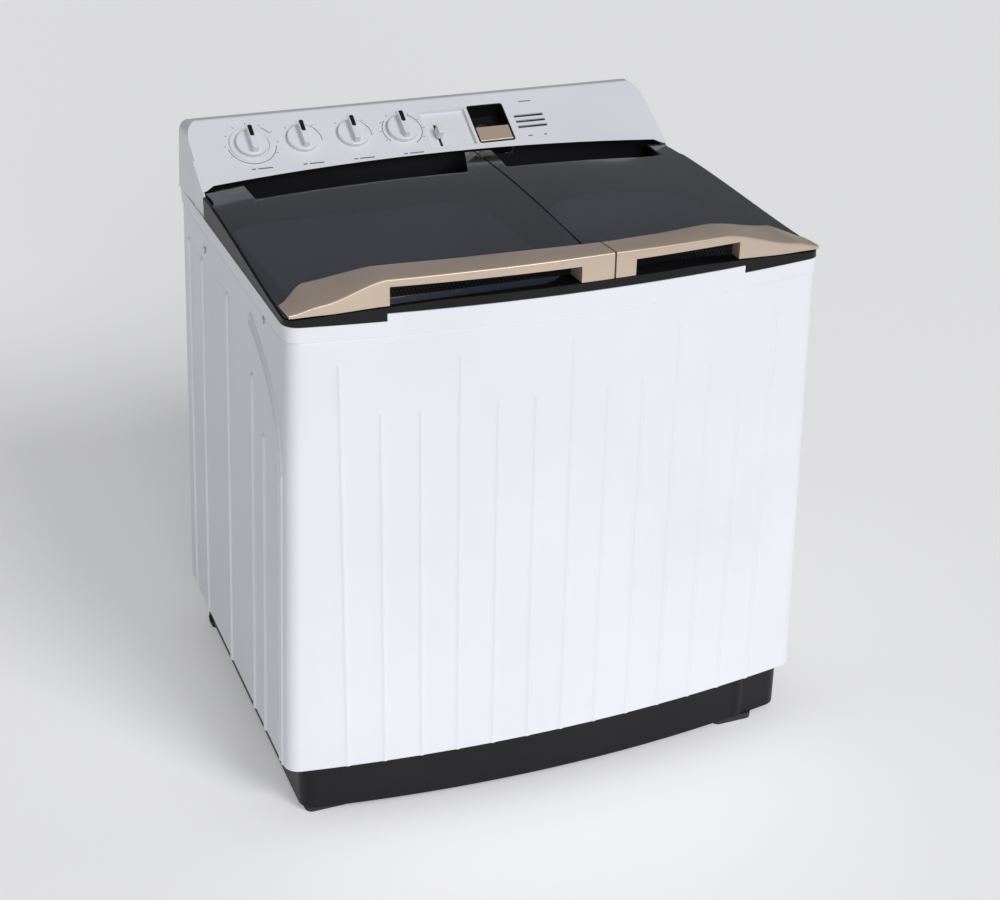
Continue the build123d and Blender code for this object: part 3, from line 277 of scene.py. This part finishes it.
# --- mesh helpers ---------------------------------------------------------------------
def piece(name, verts, faces, material, body, smooth_angle=30.0):
    """A mesh piece given in millimetres, riding on a CAD body."""
    mesh = bpy.data.meshes.new(name)
    mesh.from_pydata([Vector(v) * MM for v in verts], [], faces)
    bm = bmesh.new()
    bm.from_mesh(mesh)
    bmesh.ops.recalc_face_normals(bm, faces=bm.faces)
    bm.to_mesh(mesh)
    bm.free()
    mesh.materials.append(material)
    mesh.polygons.foreach_set("use_smooth", [True] * len(mesh.polygons))
    mesh.set_sharp_from_angle(angle=math.radians(smooth_angle))
    made = bpy.data.objects.new(name, mesh)
    scene.collection.objects.link(made)
    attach(made, body)
    return made


def weld(mesh):
    """Merges vertices that coincide and drops the faces they close."""
    bm = bmesh.new()
    bm.from_mesh(mesh)
    bmesh.ops.remove_doubles(bm, verts=bm.verts, dist=1e-6)
    bmesh.ops.dissolve_degenerate(bm, dist=1e-6, edges=bm.edges)
    bmesh.ops.recalc_face_normals(bm, faces=bm.faces)
    bm.to_mesh(mesh)
    bm.free()


def bevel(made, width):
    modifier = made.modifiers.new("bevel", "BEVEL")
    modifier.width = width * MM
    modifier.segments = 2
    modifier.limit_method = "ANGLE"
    modifier.angle_limit = math.radians(35.0)


def ring_faces(size, start):
    """Quads between a closed ring of vertices and the next one."""
    faces = []
    for i in range(size):
        j = (i + 1) % size
        faces.append((start + i, start + j, start + size + j, start + size + i))
    return faces


def spread(low, high, step):
    count = max(1, round((high - low) / step))
    return [low + (high - low) * i / count for i in range(count + 1)]


def thinned(values):
    """Sorted values, without those that lie close behind the one before."""
    ordered = sorted(values)
    return [value for i, value in enumerate(ordered) if i == 0 or value - ordered[i - 1] > CLOSEST]


def on_panel(x, s, height):
    """Point of the console panel in millimetres: x, distance up the slope, height above it."""
    c, n = math.cos(PANEL_ANGLE), math.sin(PANEL_ANGLE)
    return (x, PANEL_Y + s * c - height * n, PANEL_Z + s * n + height * c)


# --- cabinet shell --------------------------------------------------------------------
def cabinet_size(z):
    """Half width and bow of the cabinet at a height."""
    k = (z - CABINET_LOW) / (SEAM_Z - CABINET_LOW)
    return HALF_LOW + (HALF_SEAM - HALF_LOW) * k, BOW_LOW + (BOW_SEAM - BOW_LOW) * k


def corner_arc(corner, start, end, radius, share):
    """Point and outward normal on a rounded corner between two directions of travel, in radians."""
    reach = radius * math.tan((end - start) / 2)
    x = corner[0] - reach * math.cos(start) - radius * math.sin(start)
    y = corner[1] - reach * math.sin(start) + radius * math.cos(start)
    turn = start + (end - start) * share
    normal = (math.sin(turn), -math.cos(turn))
    return x + radius * normal[0], y + radius * normal[1], normal


def right_half(kind, value, z):
    """Point and normal of the right half of the plan shape at a height."""
    half, bow = cabinet_size(z)
    side_lean = REAR_TAPER / (REAR_Y - FRONT_Y)
    front_turn = math.atan(2 * bow / half)
    side_turn = math.pi / 2 + math.atan(side_lean)
    if kind == "front":
        slope = 2 * bow * value / half ** 2
        normal = Vector((slope, -1.0)).normalized()
        return value, FRONT_Y - bow * (1 - (value / half) ** 2), normal
    if kind == "front_corner":
        return corner_arc((half, FRONT_Y), front_turn, side_turn, FRONT_RADIUS, value)
    if kind == "side":
        return half - side_lean * (value - FRONT_Y), value, (math.cos(side_lean), math.sin(side_lean))
    if kind == "rear_corner":
        return corner_arc((half - REAR_TAPER, REAR_Y), side_turn, math.pi, REAR_RADIUS, value)
    return value, REAR_Y, (0.0, 1.0)


def crest(distance, rib):
    """Rise of a rib: a flat top, if it has one, between eased flanks."""
    width, height, flat = rib
    if distance >= width / 2:
        return 0.0
    return height * math.cos(math.pi / 2 * max(0.0, 2 * distance - flat) / (width - flat)) ** 2


def rib_distance(along, z, ribs, rib):
    """Distance to the nearest of some upright ribs with rounded upper ends."""
    return min(math.hypot(along - place, max(0.0, z - top + rib[0] / 2)) for place, top in ribs)


def flute_distance(y, z, shift):
    """Distance to the curved flute, or to its neighbour nearer the front corner."""
    point = Vector((y, z))
    best = math.inf
    for a, b in zip(FLUTE, FLUTE[1:]):
        start, end = Vector(a), Vector(b)
        run = end - start
        start = start + Vector((run.y, -run.x)).normalized() * shift
        k = min(1.0, max(0.0, (point - start).dot(run) / run.length_squared))
        best = min(best, (point - start - run * k).length)
    return best


def rib_rise(kind, value, z):
    """How far the ribs stand out of the cabinet at a place."""
    if kind == "front":
        return crest(rib_distance(value, z, FRONT_RIBS, FRONT_RIB), FRONT_RIB)
    if kind == "side":
        flutes = min(flute_distance(value, z, shift) for shift in (0.0, FLUTE_GAP))
        return max(crest(rib_distance(value, z, SIDE_RIBS, SIDE_RIB), SIDE_RIB), crest(flutes, FLUTE_RIB))
    return 0.0


def across(rib):
    """Offsets of the stations across a rib."""
    return [rib[0] * k / 8 for k in range(-4, 5)]


def cabinet_columns():
    """Stations round the right half of the plan shape, from the middle of the front to the rear."""
    front = {round(abs(x + offset), 3) for x, _ in FRONT_RIBS for offset in across(FRONT_RIB)}
    side = set(spread(*FINE_SIDE, FINE_SIDE_STEP)) | PLAIN_SIDE
    side |= {y + offset for y, _ in SIDE_RIBS if y > FINE_SIDE[1] for offset in across(SIDE_RIB)}
    columns = [("front", x) for x in thinned(front | set(spread(0.0, FRONT_END, FRONT_STEP)))]
    columns += [("front_corner", i / 8) for i in range(9)]
    columns += [("side", y) for y in sorted(side)]
    columns += [("rear_corner", i / 6) for i in range(7)]
    columns += [("rear", x) for x in REAR_COLUMNS]
    return columns


def cabinet_rows():
    """Heights of the rows of vertices, close together where the ribs and flutes end."""
    rows = set(spread(CABINET_LOW, PLAIN_ROWS_TO, PLAIN_ROW_STEP)) | {BACK_HOLE_LOW, BACK_HOLE_HIGH}
    rows |= set(spread(PLAIN_ROWS_TO, FINE_ROWS_TO, FINE_ROW_STEP))
    return thinned(rows | TOP_ROWS)


def in_back_hole(first, second, z):
    """Whether the face between two columns, from this row up, lies in the service opening."""
    rear = all(kind == "rear" and value <= BACK_HOLE_HALF for _, kind, value in (first, second))
    return rear and BACK_HOLE_LOW <= z < BACK_HOLE_HIGH


def build_cabinet(materials):
    right = cabinet_columns()
    columns = [(1, k, v) for k, v in right] + [(-1, k, v) for k, v in reversed(right[1:-1])]
    count = len(columns)
    rows = cabinet_rows()
    verts, faces = [], []
    for z in rows:
        inset = max(0.0, z - SEAM_Z + SEAM_GROOVE) * SEAM_SLOPE
        for side, kind, value in columns:
            x, y, normal = right_half(kind, value, z)
            rise = rib_rise(kind, side * value if kind == "front" else value, z) - inset
            verts.append((side * (x + normal[0] * rise), y + normal[1] * rise, z))
    for r, z in enumerate(rows[:-1]):
        for c in range(count):
            n = (c + 1) % count
            if not in_back_hole(columns[c], columns[n], z):
                faces.append((r * count + c, r * count + n, (r + 1) * count + n, (r + 1) * count + c))
    base = len(rows) * count
    for side, kind, value in columns:
        x, y, normal = right_half(kind, value, CABINET_LOW)
        verts.append((side * (x - normal[0] * BOTTOM_LIP), y - normal[1] * BOTTOM_LIP, CABINET_LOW))
    faces += [(c, base + c, base + (c + 1) % count, (c + 1) % count) for c in range(count)]
    shell = piece("cabinet_shell", verts, faces, materials["white_plastic"], "machine")
    solid = shell.modifiers.new("wall", "SOLIDIFY")
    solid.thickness = WALL * MM
    solid.offset = -1.0
    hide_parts("cabinet")


# --- gold handles ---------------------------------------------------------------------
def smooth_between(stations, x, column):
    """Value of a station table at x, eased between stations."""
    for left, right in zip(stations, stations[1:]):
        if left[0] <= x <= right[0]:
            k = (x - left[0]) / (right[0] - left[0])
            k = 0.5 * k + 0.5 * k * k * (3 - 2 * k)
            return left[column] + (right[column] - left[column]) * k
    return stations[0][column] if x < stations[0][0] else stations[-1][column]


def lid_surface(x, y):
    """Height of the lids' top surface."""
    for near, far in zip(LID_SECTIONS, LID_SECTIONS[1:]):
        if near[0] <= y <= far[0]:
            k = (y - near[0]) / (far[0] - near[0])
            side = near[1] + (far[1] - near[1]) * k
            centre = near[2] + (far[2] - near[2]) * k
            return centre - (centre - side) * (x / LID_HALF) ** 2
    return LID_SECTIONS[0][2]


def front_edge(x):
    """Front face of the top cover at a distance from the middle."""
    return FRONT_Y - BOW_SEAM * (1 - (x / COVER_HALF) ** 2)


def handle_section(stations, x, in_grip):
    """Section of a handle across the machine's depth, as (y, z) points."""
    low, crest_z, rear = (smooth_between(stations, x, column) for column in (1, 2, 3))
    front = front_edge(x) + HANDLE_SETBACK
    bottom = GRIP_TOP if in_grip else low
    foot = low + FOOT_LIFT if in_grip else low
    radius = min(HANDLE_RADIUS, (crest_z - bottom) * 0.45)
    points = [(front, bottom)]
    for i in range(5):
        turn = math.pi / 2 * i / 4
        points.append((front + radius - radius * math.cos(turn), crest_z - radius + radius * math.sin(turn)))
    points.append(((front + rear) / 2, crest_z - HANDLE_SAG))
    for i in range(4):
        turn = math.pi / 2 * i / 3
        points.append((rear - HANDLE_RADIUS + HANDLE_RADIUS * math.sin(turn),
                       crest_z - HANDLE_REAR_DROP + HANDLE_RADIUS * math.cos(turn)))
    points.append((rear, min(lid_surface(x, rear) + LID_GAP, crest_z - HANDLE_REAR_DROP - 0.5)))
    points.append((LID_FRONT_Y, lid_surface(x, LID_FRONT_Y) + LID_GAP))
    points.append((LID_FRONT_Y, foot))
    points.append((GRIP_BACK + LINER_GAP, foot))
    points.append((GRIP_BACK + LINER_GAP, bottom))
    return points


def build_handle(name, stations, grip, body, material):
    """Handle lofted along the machine's width, with its grip cut from below."""
    xs = [(x, False) for x in spread(stations[0][0], grip[0], HANDLE_STEP)]
    xs += [(x, True) for x in spread(grip[0], grip[1], GRIP_STEP)]
    xs += [(x, False) for x in spread(grip[1], stations[-1][0], HANDLE_STEP)]
    sections = [handle_section(stations, x, inside) for x, inside in xs]
    size = len(sections[0])
    verts = [(x, y, z) for (x, _), section in zip(xs, sections) for y, z in section]
    last = (len(xs) - 1) * size
    faces = []
    for c in range(len(xs) - 1):
        faces += ring_faces(size, c * size)
    faces.append(tuple(range(size)))
    faces.append(tuple(last + i for i in reversed(range(size))))
    made = piece(name, verts, faces, material, body, 40.0)
    weld(made.data)
    bevel(made, HANDLE_BEVEL)
    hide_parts(body + "_handle")


# --- honeycomb behind the grips -------------------------------------------------------
def build_honeycomb(side, grip, material):
    """Backing plate with a raised hexagon mesh on its front."""
    x0, x1 = grip[0] + LINER_END_GAP, grip[1] - LINER_END_GAP
    corners = ((x0, LINER_LOW), (x1, LINER_LOW), (x1, LINER_HIGH), (x0, LINER_HIGH))
    verts = [(x, y, z) for y in (PLATE_FRONT, PLATE_BACK) for x, z in corners]
    faces = [(0, 1, 2, 3), (7, 6, 5, 4), (0, 4, 5, 1), (1, 5, 6, 2), (2, 6, 7, 3), (3, 7, 4, 0)]
    rise = CELL_PITCH * math.sqrt(3) / 2
    row = 0
    z = LINER_LOW + rise * 0.7
    while z < LINER_HIGH - rise * 0.5:
        x = x0 + CELL_PITCH * (0.7 if row % 2 else 1.2)
        while x < x1 - CELL_PITCH * 0.6:
            add_hexagon(verts, faces, x, z)
            x += CELL_PITCH
        z += rise
        row += 1
    made = piece(side + "_honeycomb", verts, faces, material, side + "_lid")
    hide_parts(side + "_grip_liner")


def add_hexagon(verts, faces, x, z):
    """Low six-sided boss with sloping flanks."""
    start = len(verts)
    for radius, y in ((CELL_BASE, PLATE_FRONT), (CELL_FACE, CELL_FRONT)):
        for i in range(6):
            turn = math.pi / 6 + math.pi / 3 * i
            verts.append((x + radius * math.cos(turn), y, z + radius * math.sin(turn)))
    faces.extend(ring_faces(6, start))
    faces.append(tuple(start + 6 + i for i in range(6)))
    faces.append(tuple(start + i for i in reversed(range(6))))


# --- marks of the console -------------------------------------------------------------
def strip(path, width):
    """Flat printed stroke on the panel: vertices and faces along (x, s) points."""
    verts, faces = [], []
    points = [Vector(p) for p in path]
    last = len(points) - 1
    for i, point in enumerate(points):
        along = (points[min(i + 1, last)] - points[max(i - 1, 0)]).normalized()
        aside = Vector((-along.y, along.x)) * width / 2
        for k, height in ((-1, 0.0), (1, 0.0), (1, INK_HEIGHT), (-1, INK_HEIGHT)):
            p = point + aside * k
            verts.append(on_panel(p.x, p.y, INK_LIFT + height))
    for i in range(last):
        faces += ring_faces(4, 4 * i)
    faces.append((0, 1, 2, 3))
    faces.append((4 * last + 3, 4 * last + 2, 4 * last + 1, 4 * last))
    return verts, faces


def arc(cx, cs, radius, start, end, steps=24):
    """Points of an arc; angles in degrees clockwise from straight up the panel."""
    turns = [math.radians(start + (end - start) * i / steps) for i in range(steps + 1)]
    return [(cx + radius * math.sin(t), cs + radius * math.cos(t)) for t in turns]


def build_ink(materials):
    """Printed arcs, ticks and plain bars in place of the lettering."""
    strokes = []
    for name, x, radius, spans in DIALS:
        strokes += [(arc(x, KNOB_S, radius, start, end), ARC_WIDTH) for start, end in spans]
        for turn in TIMER_TICKS if name.endswith("timer") else SELECTOR_TICKS:
            ends = [arc(x, KNOB_S, radius + r, turn, turn, 1)[0] for r in (TICK_FROM, TICK_TO)]
            strokes.append((ends, TICK_WIDTH))
        strokes += [(((x + a, LABEL_S), (x + b, LABEL_S)), LABEL_WIDTH) for a, b in LABEL_BARS]
    strokes += [(((x0, s), (x1, s)), width) for x0, x1, s, width in OTHER_BARS]
    verts, faces = [], []
    for path, width in strokes:
        more, quads = strip(path, width)
        faces += [tuple(len(verts) + i for i in quad) for quad in quads]
        verts += more
    piece("panel_marks", verts, faces, materials["ink"], "machine")


def build_pointer(name, x, material):
    """Black pointer at the upper end of a knob's grip."""
    outline = []
    for s, start in ((POINTER_HIGH - POINTER_ROUND, -90), (POINTER_LOW + POINTER_ROUND, 90)):
        for i in range(9):
            turn = math.radians(start + 180 * i / 8)
            outline.append((POINTER_WIDTH / 2 * math.sin(turn), KNOB_S + s + POINTER_ROUND * math.cos(turn)))
    verts = [on_panel(x + aside * share, s, height)
             for height, share in POINTER_LEVELS for aside, s in outline]
    size = len(outline)
    faces = ring_faces(size, 0) + ring_faces(size, size)
    faces.append(tuple(reversed(range(size))))
    faces.append(tuple(2 * size + i for i in range(size)))
    piece(name + "_pointer", verts, faces, material, name + "_dial")


make_camera()
make_stage()
materials = make_materials()
dress_nodes(materials)
build_cabinet(materials)
build_handle("wash_handle_gold", WASH_HANDLE, WASH_GRIP, "wash_lid", materials["gold_paint"])
build_handle("spin_handle_gold", SPIN_HANDLE, SPIN_GRIP, "spin_lid", materials["gold_paint"])
build_honeycomb("wash", WASH_GRIP, materials["black_plastic"])
build_honeycomb("spin", SPIN_GRIP, materials["black_plastic"])
build_ink(materials)
for dial, dial_x, _, _ in DIALS:
    build_pointer(dial, dial_x, materials["black_plastic"])
